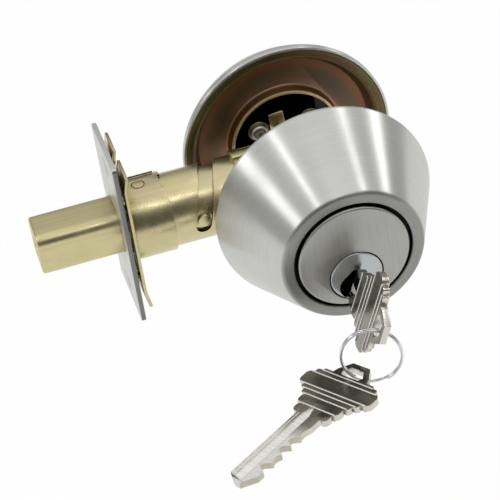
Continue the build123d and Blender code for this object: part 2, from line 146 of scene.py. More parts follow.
class LockShapes(bpy.types.PropertyGroup):
    """Sizes that the modelled pieces are made to."""

    collar_wall: length_prop("Collar wall", "Thickness of the tapered collar's sheet", 0.0016)
    collar_edge: length_prop("Collar edge", "Rounding of the collar's front edge", 0.0018)
    collar_steps: IntProperty(
        name="Round steps", description="Facets around turned pieces", default=200, min=48)
    edge_break: length_prop("Edge break", "Rounding on the edges of stamped pieces", 0.00016)
    ring_radius: length_prop("Ring radius", "From the split ring's middle to the middle of its wire", 0.0087)
    ring_wire: length_prop("Ring wire", "Radius of the split ring's wire", 0.00041)
    ring_gap: length_prop("Ring coils", "Half the distance between the ring's two coils", 0.00040)


class LockFinishes(bpy.types.PropertyGroup):
    """Colours of the finishes."""

    satin: colour_prop("Satin steel", "Brushed collar, faceplate and rose", (0.60, 0.605, 0.575))
    # The cylinder face's nickel is also darkened to paint the shade that it reflects
    face: colour_prop("Cylinder face", "Brushed nickel of the cylinder", (0.40, 0.40, 0.37))
    plug: colour_prop("Plug", "Nickel of the plug's face", (0.46, 0.49, 0.49))
    nickel: colour_prop("Key nickel", "Plating of both keys", (0.25, 0.24, 0.20))
    gold: colour_prop("Yellow zinc", "Main tint of the yellow chromate", (0.615, 0.55, 0.30))
    rose: colour_prop("Rose chromate", "Main tint inside the rose", (0.16, 0.13, 0.077))


class LockStage(bpy.types.PropertyGroup):
    """Camera, floor and lamps."""

    camera_place: FloatVectorProperty(
        name="Camera place", description="Where the camera stands", subtype="TRANSLATION", unit="LENGTH",
        default=(-0.11064, -0.44376, 0.32501))
    camera_turn: FloatVectorProperty(
        name="Camera turn", description="How the camera is turned", subtype="EULER", unit="ROTATION",
        default=tuple(math.radians(a) for a in (52.0952, 6.7697, -16.6881)))
    lens: FloatProperty(name="Lens", description="Focal length", subtype="DISTANCE_CAMERA", default=130.96)
    floor_drop: length_prop("Floor drop", "How far the floor lies under the lock", 0.10)


def deselect():
    if bpy.context.mode != "OBJECT":
        bpy.ops.object.mode_set(mode="OBJECT")
    bpy.ops.object.select_all(action="DESELECT")


def pick(piece):
    deselect()
    piece.select_set(True)
    bpy.context.view_layer.objects.active = piece


def rounded(corners, steps=6):
    """Profile points (r, y) with each corner (r, y, radius) turned into an arc."""
    points = []
    count = len(corners)
    for i, (x, y, radius) in enumerate(corners):
        here = Vector((x, y))
        if radius <= 0:
            points.append(here)
            continue
        before = (Vector(corners[i - 1][:2]) - here).normalized()
        after = (Vector(corners[(i + 1) % count][:2]) - here).normalized()
        half = before.angle(after) / 2
        reach = radius / math.tan(half)
        middle = here + (before + after).normalized() * (radius / math.sin(half))
        start = here + before * reach - middle
        turn = start.angle_signed(here + after * reach - middle)
        for k in range(steps + 1):
            arm = start.copy()
            arm.rotate(Matrix.Rotation(-turn * k / steps, 2))
            points.append(middle + arm)
    return points


def tidy_edit():
    bpy.ops.mesh.select_all(action="SELECT")
    bpy.ops.mesh.remove_doubles(threshold=1e-7)
    bpy.ops.mesh.normals_make_consistent(inside=False)


def spun(name, corners, steps, angle=math.radians(38)):
    """Closed profile spun about the lock's Y axis."""
    points = rounded(corners)
    deselect()
    bpy.ops.mesh.primitive_plane_add(size=0.001)
    piece = bpy.context.object
    piece.name = name
    bpy.ops.object.mode_set(mode="EDIT")
    bpy.ops.mesh.select_all(action="SELECT")
    bpy.ops.mesh.merge(type="CENTER")
    bpy.ops.transform.translate(value=(points[0].x, points[0].y, 0))
    for a, b in zip(points, points[1:] + points[:1]):
        bpy.ops.mesh.extrude_vertices_move(TRANSFORM_OT_translate={"value": (b.x - a.x, b.y - a.y, 0)})
    bpy.ops.mesh.select_all(action="SELECT")
    bpy.ops.mesh.spin(steps=steps, angle=2 * math.pi, center=(0, 0, 0), axis=(0, 1, 0))
    tidy_edit()
    bpy.ops.object.mode_set(mode="OBJECT")
    bpy.ops.object.shade_smooth_by_angle(angle=angle)
    return piece


def softened(node, name, width, segments=2, limit=32, weigh=None):
    """Copy of a CAD node with its hard edges broken; weigh gives each outer edge its share of the width."""
    pick(NODES[node])
    bpy.ops.object.duplicate()
    piece = bpy.context.object
    piece.name = name
    piece.parent = None
    for key in list(piece.keys()):
        del piece[key]
    bpy.ops.object.mode_set(mode="EDIT")
    bpy.ops.mesh.select_all(action="SELECT")
    bpy.ops.mesh.remove_doubles(threshold=2e-6)
    bpy.ops.mesh.dissolve_limited(angle_limit=math.radians(0.6), delimit=set())
    if weigh:
        mesh = bmesh.from_edit_mesh(piece.data)
        share = mesh.edges.layers.float.new("bevel_weight_edge")
        for edge in mesh.edges:
            outer = len(edge.link_faces) == 2 and edge.calc_face_angle_signed() > math.radians(limit)
            edge[share] = weigh(edge) if outer else 0.0
        bmesh.update_edit_mesh(piece.data)
    bpy.ops.object.mode_set(mode="OBJECT")
    bevel = piece.modifiers.new("Edge break", "BEVEL")
    bevel.width = width
    bevel.segments = segments
    bevel.limit_method = "WEIGHT" if weigh else "ANGLE"
    bevel.angle_limit = math.radians(limit)
    bevel.use_clamp_overlap = False
    bevel.miter_outer = "MITER_ARC"
    bpy.ops.object.modifier_apply(modifier=bevel.name)
    bpy.ops.object.shade_smooth_by_angle(angle=math.radians(40))
    return piece


def stand_for(piece, *nodes):
    """Lets a piece ride and stand in for CAD nodes of one body."""
    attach(piece, BODY_OF[nodes[0]])
    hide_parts(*nodes)


def wear(piece, material):
    piece.data.materials.clear()
    piece.data.materials.append(material)


def also_wear(piece, material, chosen):
    """Gives a second finish to the faces that chosen(middle, normal) picks."""
    piece.data.materials.append(material)
    place = len(piece.data.materials) - 1
    for face in piece.data.polygons:
        if chosen(face.center, face.normal):
            face.material_index = place


def finish_node(node, material):
    for slot in NODES[node].material_slots:
        slot.material = material


def new_group(name, inputs, outputs):
    tree = bpy.data.node_groups.new(name, "ShaderNodeTree")
    for label, kind, value in inputs:
        socket = tree.interface.new_socket(label, in_out="INPUT", socket_type=kind)
        if value is not None:
            socket.default_value = value
    for label, kind in outputs:
        tree.interface.new_socket(label, in_out="OUTPUT", socket_type=kind)
    return tree, tree.nodes.new("NodeGroupInput"), tree.nodes.new("NodeGroupOutput")


def add(tree, kind, inputs=None, **settings):
    node = tree.nodes.new(kind)
    for key, value in settings.items():
        setattr(node, key, value)
    for key, value in (inputs or {}).items():
        if isinstance(value, bpy.types.NodeSocket):
            tree.links.new(value, node.inputs[key])
        else:
            node.inputs[key].default_value = value
    return node


def maths(tree, operation, a, b=0.0):
    return add(tree, "ShaderNodeMath", {0: a, 1: b}, operation=operation).outputs[0]


def ramp(tree, factor, stops):
    node = add(tree, "ShaderNodeValToRGB", {"Fac": factor})
    band = node.color_ramp
    while len(band.elements) < len(stops):
        band.elements.new(0.5)
    for element, (place, colour) in zip(band.elements, stops):
        element.position = place
        element.color = (*colour, 1.0)
    return node.outputs["Color"]


def turned_grain():
    """Fine rings left by turning or circular brushing about a Y axis."""
    if "Turned grain" in bpy.data.node_groups:
        return bpy.data.node_groups["Turned grain"]
    tree, source, result = new_group(
        "Turned grain",
        [("Place", "NodeSocketVector", None), ("Rings", "NodeSocketFloat", 2500.0),
         ("Sweep", "NodeSocketFloat", 2.2)],
        [("Grain", "NodeSocketFloat"), ("Radius", "NodeSocketFloat")])
    parts = add(tree, "ShaderNodeSeparateXYZ", {0: source.outputs["Place"]})
    around = maths(tree, "ARCTAN2", parts.outputs[0], parts.outputs[2])
    square = maths(tree, "ADD", maths(tree, "MULTIPLY", parts.outputs[0], parts.outputs[0]),
                   maths(tree, "MULTIPLY", parts.outputs[2], parts.outputs[2]))
    radius = maths(tree, "SQRT", square)
    spread = add(tree, "ShaderNodeCombineXYZ", {
        0: maths(tree, "MULTIPLY", around, source.outputs["Sweep"]),
        1: maths(tree, "MULTIPLY", parts.outputs[1], source.outputs["Rings"]),
        2: maths(tree, "MULTIPLY", radius, source.outputs["Rings"])})
    noise = add(tree, "ShaderNodeTexNoise", {
        "Vector": spread.outputs[0], "Scale": 1.0, "Detail": 5.0, "Roughness": 0.65})
    tree.links.new(noise.outputs["Fac"], result.inputs["Grain"])
    tree.links.new(radius, result.inputs["Radius"])
    return tree


def straight_grain():
    """Fine straight scratches along one direction."""
    if "Straight grain" in bpy.data.node_groups:
        return bpy.data.node_groups["Straight grain"]
    tree, source, result = new_group(
        "Straight grain",
        [("Place", "NodeSocketVector", None), ("Stretch", "NodeSocketVector", (3000.0, 3000.0, 60.0))],
        [("Grain", "NodeSocketFloat")])
    spread = add(tree, "ShaderNodeVectorMath", {0: source.outputs["Place"], 1: source.outputs["Stretch"]},
                 operation="MULTIPLY")
    noise = add(tree, "ShaderNodeTexNoise", {
        "Vector": spread.outputs[0], "Scale": 1.0, "Detail": 4.0, "Roughness": 0.6})
    tree.links.new(noise.outputs["Fac"], result.inputs["Grain"])
    return tree


def handling_marks():
    """Soft blotches where hands and plating leave the gloss uneven."""
    if "Handling marks" in bpy.data.node_groups:
        return bpy.data.node_groups["Handling marks"]
    tree, source, result = new_group(
        "Handling marks",
        [("Place", "NodeSocketVector", None), ("Size", "NodeSocketFloat", 90.0)],
        [("Marks", "NodeSocketFloat"), ("Specks", "NodeSocketFloat")])
    broad = add(tree, "ShaderNodeTexNoise", {
        "Vector": source.outputs["Place"], "Scale": source.outputs["Size"], "Detail": 3.0, "Roughness": 0.55,
        "Distortion": 0.4})
    fine = add(tree, "ShaderNodeTexNoise", {
        "Vector": source.outputs["Place"], "Scale": 2600.0, "Detail": 3.0, "Roughness": 0.7})
    tree.links.new(broad.outputs["Fac"], result.inputs["Marks"])
    tree.links.new(fine.outputs["Fac"], result.inputs["Specks"])
    return tree


def chromate_film():
    """Thin-film tints of chromate plating, drifting between hues."""
    if "Chromate film" in bpy.data.node_groups:
        return bpy.data.node_groups["Chromate film"]
    tree, source, result = new_group(
        "Chromate film",
        [("Place", "NodeSocketVector", None), ("Drift", "NodeSocketFloat", 70.0),
         ("Main", "NodeSocketColor", None), ("Strength", "NodeSocketFloat", 0.5)],
        [("Tint", "NodeSocketColor")])
    drift = add(tree, "ShaderNodeTexNoise", {
        "Vector": source.outputs["Place"], "Scale": source.outputs["Drift"], "Detail": 3.5, "Roughness": 0.5,
        "Distortion": 0.8})
    hues = ramp(tree, drift.outputs["Fac"], [
        (0.30, (0.54, 0.60, 0.30)), (0.42, (0.60, 0.55, 0.30)), (0.52, (0.66, 0.59, 0.36)),
        (0.61, (0.68, 0.52, 0.36)), (0.72, (0.50, 0.56, 0.38))])
    tint = mixed(tree, source.outputs["Strength"], source.outputs["Main"], hues)
    tree.links.new(tint, result.inputs["Tint"])
    return tree


def place_group(tree, group, inputs):
    return add(tree, "ShaderNodeGroup", inputs, node_tree=group)


def new_material(name, tint):
    material = bpy.data.materials.new(name)
    material.use_nodes = True
    material.diffuse_color = (*tint, 1.0)
    tree = material.node_tree
    shader = tree.nodes["Principled BSDF"]
    place = add(tree, "ShaderNodeTexCoord").outputs["Object"]
    return material, tree, shader, place


def shade(colour, factor):
    return tuple(min(1.0, c * factor) for c in colour)


def mixed(tree, factor, a, b):
    sides = [c if isinstance(c, bpy.types.NodeSocket) else (*c, 1.0) for c in (a, b)]
    inputs = {"Factor": factor, MIX_A: sides[0], MIX_B: sides[1]}
    return add(tree, "ShaderNodeMix", inputs, data_type="RGBA").outputs[MIX_RESULT]


def step(tree, value, start, end, low=0.0, high=1.0):
    """Runs from low to high as the value goes from start to end."""
    return add(tree, "ShaderNodeMapRange", {
        "Value": value, "From Min": start, "From Max": end, "To Min": low, "To Max": high}).outputs[0]


def ranged(tree, value, low, high):
    """Spreads a noise from low to high."""
    return step(tree, value, *NOISE_REACH, low, high)


def bumped(tree, shader, height, distance, strength=0.4):
    bump = add(tree, "ShaderNodeBump", {"Height": height, "Distance": distance, "Strength": strength})
    tree.links.new(bump.outputs["Normal"], shader.inputs["Normal"])


def turned_metal(name, tint, rough, rings=2600.0, centre_z=0.0, lean=0.7, contrast=0.10, front=1.0):
    """Metal brushed in circles about a Y axis; a front below 1 paints shade on the collar's front ring."""
    material, tree, shader, place = new_material(name, tint)
    moved = add(tree, "ShaderNodeMapping", {"Vector": place, "Location": (0, 0, -centre_z)}).outputs[0]
    grain = place_group(tree, turned_grain(), {"Place": moved, "Rings": rings})
    marks = place_group(tree, handling_marks(), {"Place": place, "Size": 60.0})
    colour = mixed(tree, grain.outputs["Grain"], shade(tint, 1 - contrast), shade(tint, 1 + contrast))
    # Painted shade: below front 1, the collar's front ring is darkened to stand in for the floor's shadow
    # that it reflects
    if front < 1.0:
        depth = add(tree, "ShaderNodeSeparateXYZ", {0: place}).outputs[1]
        dark, light = shade(tint, front - contrast), shade(tint, front + contrast)
        ring = mixed(tree, grain.outputs["Grain"], dark, light)
        colour = mixed(tree, step(tree, depth, *COLLAR_SHADE_DEPTHS), colour, ring)
    tree.links.new(colour, shader.inputs["Base Color"])
    uneven = maths(tree, "ADD", maths(tree, "MULTIPLY", grain.outputs["Grain"], 0.5),
                   maths(tree, "MULTIPLY", marks.outputs["Marks"], 0.5))
    tree.links.new(ranged(tree, uneven, rough - 0.05, rough + 0.07), shader.inputs["Roughness"])
    bumped(tree, shader, grain.outputs["Grain"], 0.00002, 0.25)
    shader.inputs["Metallic"].default_value = 1.0
    shader.inputs["Anisotropic"].default_value = lean
    shader.inputs["Anisotropic Rotation"].default_value = 0.25
    tangent = add(tree, "ShaderNodeTangent", direction_type="RADIAL", axis="Y")
    tree.links.new(tangent.outputs[0], shader.inputs["Tangent"])
    return material


def brushed_metal(name, tint, rough, stretch, contrast=0.08, size=70.0):
    """Metal with straight brushing."""
    material, tree, shader, place = new_material(name, tint)
    grain = place_group(tree, straight_grain(), {"Place": place, "Stretch": stretch})
    marks = place_group(tree, handling_marks(), {"Place": place, "Size": size})
    tree.links.new(mixed(tree, grain.outputs["Grain"], shade(tint, 1 - contrast), shade(tint, 1 + contrast)),
                   shader.inputs["Base Color"])
    uneven = maths(tree, "ADD", maths(tree, "MULTIPLY", grain.outputs["Grain"], 0.4),
                   maths(tree, "MULTIPLY", marks.outputs["Marks"], 0.6))
    tree.links.new(ranged(tree, uneven, rough - 0.06, rough + 0.08), shader.inputs["Roughness"])
    bumped(tree, shader, grain.outputs["Grain"], 0.00002, 0.3)
    shader.inputs["Metallic"].default_value = 1.0
    return material


def chromate_metal(name, tint, rough, strength, drift=70.0, drawn=0.12):
    """Steel under a yellow chromate film, with faint drawing lines along X."""
    material, tree, shader, place = new_material(name, tint)
    film = place_group(tree, chromate_film(), {
        "Place": place, "Drift": drift, "Main": (*tint, 1.0), "Strength": strength})
    marks = place_group(tree, handling_marks(), {"Place": place, "Size": 220.0})
    lines = place_group(tree, straight_grain(), {"Place": place, "Stretch": (14.0, 700.0, 700.0)})
    dulling = ranged(tree, lines.outputs["Grain"], drawn, -drawn)
    colour = mixed(tree, dulling, film.outputs["Tint"], shade(tint, 0.25))
    tree.links.new(colour, shader.inputs["Base Color"])
    uneven = maths(tree, "ADD", maths(tree, "MULTIPLY", marks.outputs["Marks"], 0.7),
                   maths(tree, "MULTIPLY", marks.outputs["Specks"], 0.3))
    tree.links.new(ranged(tree, uneven, rough - 0.08, rough + 0.10), shader.inputs["Roughness"])
    bumped(tree, shader, uneven, 0.00006, 0.35)
    shader.inputs["Metallic"].default_value = 1.0
    return material


def rose_metal(name, tint):
    """Dark chromate whose tint drifts with distance from the rose's middle, with painted highlight rings at
    its bends.
    """
    material, tree, shader, place = new_material(name, tint)
    grain = place_group(tree, turned_grain(), {"Place": place, "Rings": 700.0, "Sweep": 1.6})
    marks = place_group(tree, handling_marks(), {"Place": place, "Size": 55.0})
    patches = place_group(tree, handling_marks(), {"Place": place, "Size": 34.0})
    wander = maths(tree, "MULTIPLY", maths(tree, "SUBTRACT", marks.outputs["Marks"], 0.5), 0.0024)
    reach = maths(tree, "ADD", grain.outputs["Radius"], wander)
    bands = ramp(tree, step(tree, reach, *ROSE_BANDS), [
        (0.0, (0.40, 0.22, 0.08)), (0.12, (0.36, 0.17, 0.06)), (0.16, (0.34, 0.20, 0.14)), (0.30, tint),
        (0.48, shade(tint, 0.85)), (0.60, (0.24, 0.10, 0.05)), (0.68, (0.17, 0.09, 0.045)),
        (0.74, (0.075, 0.075, 0.025)), (0.82, (0.10, 0.085, 0.035)), (0.90, (0.085, 0.07, 0.03)),
        (1.0, (0.13, 0.11, 0.05))])
    hues = ramp(tree, patches.outputs["Marks"], [
        (0.36, (0.16, 0.20, 0.08)), (0.46, (0.24, 0.20, 0.10)), (0.55, (0.30, 0.16, 0.10)),
        (0.64, (0.24, 0.15, 0.15))])
    # Painted highlights: light rings on the lip's top, at the floor's inner fillet and near the outer rim,
    # where the bends would catch the light
    edges = ramp(tree, step(tree, grain.outputs["Radius"], *ROSE_BANDS), [
        (0.0, (1, 1, 1)), (0.08, (1, 1, 1)), (0.09, (0, 0, 0)), (0.115, (0, 0, 0)), (0.128, (1, 1, 1)),
        (0.141, (0, 0, 0)), (0.825, (0, 0, 0)), (0.838, (1, 1, 1)), (0.851, (0, 0, 0))])
    film = mixed(tree, 0.30, bands, hues)
    with_painted_highlights = mixed(tree, maths(tree, "MULTIPLY", edges, 0.9), film, (0.86, 0.70, 0.44))
    tree.links.new(with_painted_highlights, shader.inputs["Base Color"])
    tree.links.new(ranged(tree, marks.outputs["Marks"], 0.38, 0.52), shader.inputs["Roughness"])
    bumped(tree, shader, grain.outputs["Grain"], 0.00003, 0.3)
    shader.inputs["Metallic"].default_value = 1.0
    return material


def key_metal(name, tint):
    """Nickel key with dark smooth faces, a milled channel with cross marks, rib tops lightened partly by wear
    and partly as a painted highlight, and brassy cuts.
    """
    material, tree, shader = new_material(name, tint)[:3]
    spot = add(tree, "ShaderNodeAttribute", attribute_name="key_place").outputs["Vector"]
    channel, blade, rib_wear_and_sheen, cut, side = (
        add(tree, "ShaderNodeAttribute", attribute_name=zone).outputs["Fac"] for zone in KEY_ZONES)
    along = add(tree, "ShaderNodeSeparateXYZ", {0: spot}).outputs[0]
    scraped = maths(tree, "MULTIPLY", blade, step(tree, along, *BLADE_FADE))
    milled = maths(tree, "MAXIMUM", channel, scraped)
    cross = place_group(tree, straight_grain(), {"Place": spot, "Stretch": (4200.0, 140.0, 140.0)})
    marks = place_group(tree, handling_marks(), {"Place": spot, "Size": 170.0})
    plated = mixed(tree, marks.outputs["Marks"], shade(tint, 0.8), shade(tint, 1.2))
    ticks = ranged(tree, cross.outputs["Grain"], 0.0, 1.0)
    bright = mixed(tree, ticks, (0.74, 0.72, 0.66), (1.0, 0.99, 0.95))
    colour = mixed(tree, side, plated, (0.64, 0.62, 0.56))
    colour = mixed(tree, milled, colour, bright)
    # Rib tops: lighter and less metallic, partly wear and partly a painted highlight
    colour = mixed(tree, rib_wear_and_sheen, colour, (0.80, 0.78, 0.71))
    tree.links.new(mixed(tree, cut, colour, (0.78, 0.74, 0.60)), shader.inputs["Base Color"])
    smooth = ranged(tree, marks.outputs["Marks"], 0.20, 0.32)
    rough = maths(tree, "ADD", smooth, maths(tree, "MULTIPLY", milled, 0.25))
    tree.links.new(maths(tree, "ADD", rough, maths(tree, "MULTIPLY", cut, 0.15)), shader.inputs["Roughness"])
    dull = maths(tree, "ADD", maths(tree, "MULTIPLY", milled, 0.85), maths(tree, "MULTIPLY", rib_wear_and_sheen, 0.45))
    tree.links.new(maths(tree, "SUBTRACT", 1.0, dull), shader.inputs["Metallic"])
    bumped(tree, shader, maths(tree, "MULTIPLY", cross.outputs["Grain"], milled), 0.00005, 0.5)
    return material


def moulded_plastic(name, tint):
    """Plastic with a faintly pebbled skin."""
    material, tree, shader, place = new_material(name, tint)
    marks = place_group(tree, handling_marks(), {"Place": place, "Size": 140.0})
    colour = mixed(tree, marks.outputs["Marks"], shade(tint, 0.7), shade(tint, 1.5))
    tree.links.new(colour, shader.inputs["Base Color"])
    tree.links.new(ranged(tree, marks.outputs["Specks"], 0.42, 0.62), shader.inputs["Roughness"])
    bumped(tree, shader, marks.outputs["Specks"], 0.00004, 0.4)
    return material


FINISH = {}


class LOCK_OT_finishes(bpy.types.Operator):
    """Makes the finishes that the pieces wear"""

    bl_idname = "lock.finishes"
    bl_label = "Make finishes"

    def execute(self, context):
        tone = context.scene.lock_finishes
        satin, gold = tuple(tone.satin), tuple(tone.gold)
        # The satin collar's front ring gets painted shade at half its tone
        FINISH["satin"] = turned_metal(
            "Satin steel", satin, 0.33, rings=1700.0, lean=0.85, contrast=0.16, front=0.5)
        # Painted shade: the face's tone is set darker than bare nickel
        FINISH["face"] = brushed_metal(
            "Brushed nickel face", tuple(tone.face), 0.36, (2000.0, 2000.0, 70.0), contrast=0.20)
        FINISH["plug"] = turned_metal(
            "Turned nickel plug", tuple(tone.plug), 0.30, rings=3200.0, centre_z=SPINDLE_Z, lean=0.5)
        # Painted light: the faceplate's satin is set a little lighter than the collar's to brighten its outer
        # face
        FINISH["plate"] = brushed_metal(
            "Satin plate", shade(satin, 1.05), 0.42, (2200.0, 2200.0, 120.0), contrast=0.16)
        # Painted shade: the faceplate's long edges, facing front and back, are darkened
        FINISH["edge"] = brushed_metal(
            "Painted shade plate edge", shade(satin, 0.38), 0.45, (300.0, 300.0, 1500.0), contrast=0.15)
        # Painted shade: near black for the collar's gap, the cylinder behind its face and the walls of the
        # tubes' cuts
        FINISH["recess"] = brushed_metal(
            "Painted shade in gaps", (0.016, 0.014, 0.011), 0.55, (900.0, 900.0, 900.0), contrast=0.2)
        FINISH["nickel"] = key_metal("Key nickel", tuple(tone.nickel))
        FINISH["ring"] = brushed_metal(
            "Ring nickel", (0.66, 0.66, 0.66), 0.16, (900.0, 900.0, 900.0), contrast=0.05, size=300.0)
        FINISH["gold"] = chromate_metal("Yellow zinc", gold, 0.30, 0.40)
        FINISH["bolt"] = chromate_metal("Bolt zinc", gold, 0.34, 0.30, drift=45.0, drawn=0.22)
        FINISH["sleeve"] = chromate_metal("Golden zinc", shade(gold, 0.9), 0.27, 0.35, drift=55.0)
        FINISH["olive"] = chromate_metal("Olive zinc", (0.26, 0.30, 0.14), 0.30, 0.25, drift=160.0)
        FINISH["rose"] = rose_metal("Rose chromate", tuple(tone.rose))
        FINISH["steel"] = brushed_metal("Plain steel", (0.52, 0.52, 0.52), 0.34, (1800.0, 1800.0, 300.0))
        FINISH["brass"] = turned_metal("Turned brass", (0.66, 0.47, 0.20), 0.30, rings=3000.0, lean=0.2)
        # Near black finish for the thumbturn bush, which fills the middle of the rose's hole
        FINISH["near_black"] = moulded_plastic("Near-black bush", (0.012, 0.012, 0.012))
        return {"FINISHED"}


class LOCK_OT_collar(bpy.types.Operator):
    """Spins the tapered collar from its profile"""

    bl_idname = "lock.collar"
    bl_label = "Collar"

    def execute(self, context):
        size = context.scene.lock_shapes
        low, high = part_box("cylinder_collar")
        radius, back, front = high.x, high.y, low.y
        wall = size.collar_wall
        piece = spun("collar_shell", [
            (radius - wall, back, 0), (radius, back, 0.0006), (radius, back - 0.0012, 0.0005),
            (COLLAR_BROW, front, size.collar_edge), (COLLAR_MOUTH, front, 0.0005),
            (COLLAR_MOUTH, front + wall, 0), (COLLAR_BEND, front + wall, 0),
            (radius - wall, back - 0.0014, 0)], size.collar_steps)
        wear(piece, FINISH["satin"])
        # Painted shade on the collar's inside wall behind its front lip
        also_wear(piece, FINISH["recess"], lambda c, n: c.y > front + 0.0004
                  and n.x * c.x + n.z * c.z < -0.3 * math.hypot(c.x, c.z))
        stand_for(piece, "cylinder_collar")
        return {"FINISHED"}


class LOCK_OT_rose(bpy.types.Operator):
    """Breaks the edges of the inside rose's pieces"""

    bl_idname = "lock.rose"
    bl_label = "Rose"

    def execute(self, context):
        size = context.scene.lock_shapes
        for node, name, finish in (
                ("rose_cover", "rose_shell", "satin"), ("rose_backing", "rose_back", "rose"),
                ("thumbturn_bush", "turn_bush", "near_black"), ("detent_spring", "detent_leaf", "gold"),
                ("bush_screws", "bush_heads", "steel"), ("bush_washers", "bush_rings", "olive"),
                ("mounting_screws", "long_screws", "steel"), ("thumbturn", "turn_lever", "satin")):
            piece = softened(node, name, size.edge_break)
            wear(piece, FINISH[finish])
            stand_for(piece, node)
        return {"FINISHED"}


class LOCK_OT_latch(bpy.types.Operator):
    """Breaks the edges of the latch's stamped and drawn pieces"""

    bl_idname = "lock.latch"
    bl_label = "Latch"

    def execute(self, context):
        for node, name, finish, width in (
                ("faceplate", "face_strip", "plate", 0.00025),
                ("backing_plate", "back_strip", "sleeve", 0.0002),
                ("front_sleeve", "sleeve_shell", "sleeve", 0.00014),
                ("sleeve_rivets", "sleeve_stakes", "sleeve", 0.00014),
                ("latch_tube", "tube_shell", "gold", 0.00016), ("inner_tube", "tube_liner", "gold", 0.0001),
                ("backset_pin", "slot_pin", "gold", 0.0002), ("case_front", "case_outer", "gold", 0.00012),
                ("case_back", "case_inner", "gold", 0.00012), ("case_rivets", "case_studs", "gold", 0.0002),
                ("bolt", "bolt_bar", "bolt", 0.0003), ("bolt_insert", "bolt_core", "steel", 0.0002)):
            piece = softened(node, name, width)
            wear(piece, FINISH[finish])
            if node == "faceplate":
                # The faceplate's long edges get the painted shade
                also_wear(piece, FINISH["edge"], lambda c, n: abs(n.y) > 0.6)
            if node in ("latch_tube", "front_sleeve"):
                # Painted shade on the walls of the tubes' cuts
                also_wear(piece, FINISH["recess"], self.cut_wall_in_shade)
            stand_for(piece, node)
        return {"FINISHED"}

    def cut_wall_in_shade(self, middle, normal):
        """True on the walls of slots, holes and raised pads of the tubes, which get painted shade, but not on
        the tubes' own ends.
        """
        radius = math.hypot(middle.y, middle.z)
        outward = (normal.y * middle.y + normal.z * middle.z) / radius
        end = abs(normal.x) > 0.95 and radius < SLEEVE_OUTER and middle.x < SLEEVE_END
        inside = CUT_STRETCH[0] < middle.x < CUT_STRETCH[1]
        return abs(outward) < 0.35 and radius > TUBE_INNER and not end and inside


class LOCK_OT_cylinder(bpy.types.Operator):
    """Dresses the cylinder's face and plug"""

    bl_idname = "lock.cylinder"
    bl_label = "Cylinder"

    def execute(self, context):
        for node, name, finish, rim_round, reach, shaded_to in (
                ("cylinder_body", "cylinder_core", "face", 0.0005, RIM_REACH, GAP_END),
                ("plug", "plug_core", "plug", 0.0003, 0.0, 0.0)):
            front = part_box(node)[0].y
            piece = softened(node, name, rim_round, 3, weigh=lambda edge: self.rim_share(edge, front, reach))
            wear(piece, FINISH[finish])
            # Painted shade from behind the face back to the gap's end; plain steel farther back
            behind_face = front + FACE_DEPTH
            also_wear(piece, FINISH["recess"], lambda c, n: behind_face < c.y < shaded_to)
            also_wear(piece, FINISH["steel"], lambda c, n: c.y >= shaded_to)
            stand_for(piece, node)
        return {"FINISHED"}

    def rim_share(self, edge, front, reach):
        """The face's outer rim is rounded in full, other edges a little."""
        on_rim = all(v.co.y < front + 0.0001 and math.hypot(v.co.x, v.co.z) > reach for v in edge.verts)
        return 1.0 if on_rim else 0.25


class LOCK_OT_keys(bpy.types.Operator):
    """Rounds the ribs and breaks the edges of both keys"""

    bl_idname = "lock.keys"
    bl_label = "Keys"

    def execute(self, context):
        turned_up = Vector((math.sin(KEY_TURN), 0, math.cos(KEY_TURN)))
        turned_side = Vector((math.cos(KEY_TURN), 0, -math.sin(KEY_TURN)))
        bow = HUNG_UP.cross(HUNG_CUTS)
        shoulder = Vector((0, KEY_SHOULDER, SPINDLE_Z))
        hung_shoulder = HUNG_AT - HUNG_HOLE * bow - BLADE_MIDDLE * HUNG_CUTS
        for node, name, axes in (
                ("key", "lock_key", (shoulder, Vector((0, -1, 0)), turned_up, turned_side)),
                ("spare_key", "hung_key", (hung_shoulder, bow, HUNG_CUTS, HUNG_UP))):
            piece = softened(node, name, 0.0002, 3, weigh=lambda edge: self.edge_share(edge, axes))
            self.mark(piece, axes)
            wear(piece, FINISH["nickel"])
            stand_for(piece, node)
        return {"FINISHED"}

    def in_key(self, point, axes):
        """Place along the key from its shoulder, across it, and off the middle of its thickness."""
        arm = point - axes[0]
        return Vector((arm.dot(axes[1]), arm.dot(axes[2]), arm.dot(axes[3])))

    def edge_share(self, edge, axes):
        """The bow's ribs are rounded well, other edges a little."""
        on_rib = all(abs(self.in_key(v.co, axes).z) > RIB_EDGE for v in edge.verts)
        return 0.9 if on_rib else 0.3

    def mark(self, piece, axes):
        """Notes each point's place on the key, and which faces are milled, lie on rib tops, are cut or are at
        the side.
        """
        mesh = piece.data
        places = mesh.attributes.new("key_place", "FLOAT_VECTOR", "POINT")
        for vert, row in zip(mesh.vertices, places.data):
            row.vector = self.in_key(vert.co, axes)
        for zone in KEY_ZONES:
            mesh.attributes.new(zone, "FLOAT", "FACE")
        rows = [mesh.attributes[zone].data for zone in KEY_ZONES]
        for face in mesh.polygons:
            at = self.in_key(face.center, axes)
            flat = abs(face.normal.dot(axes[3]))
            upright = flat < 0.5
            shares = (
                1.0 if flat > 0.9 and abs(at.z) < CHANNEL_TOP else 0.0,
                0.8 if at.x < BLADE_START else 0.0,
                1.0 if abs(at.z) > RIB_TOP else 0.0,
                1.0 if upright and at.x < CUTS_START and at.y > CUTS_FLOOR else 0.0,
                1.0 if upright else 0.0)
            for row, share in zip(rows, shares):
                row[face.index].value = share


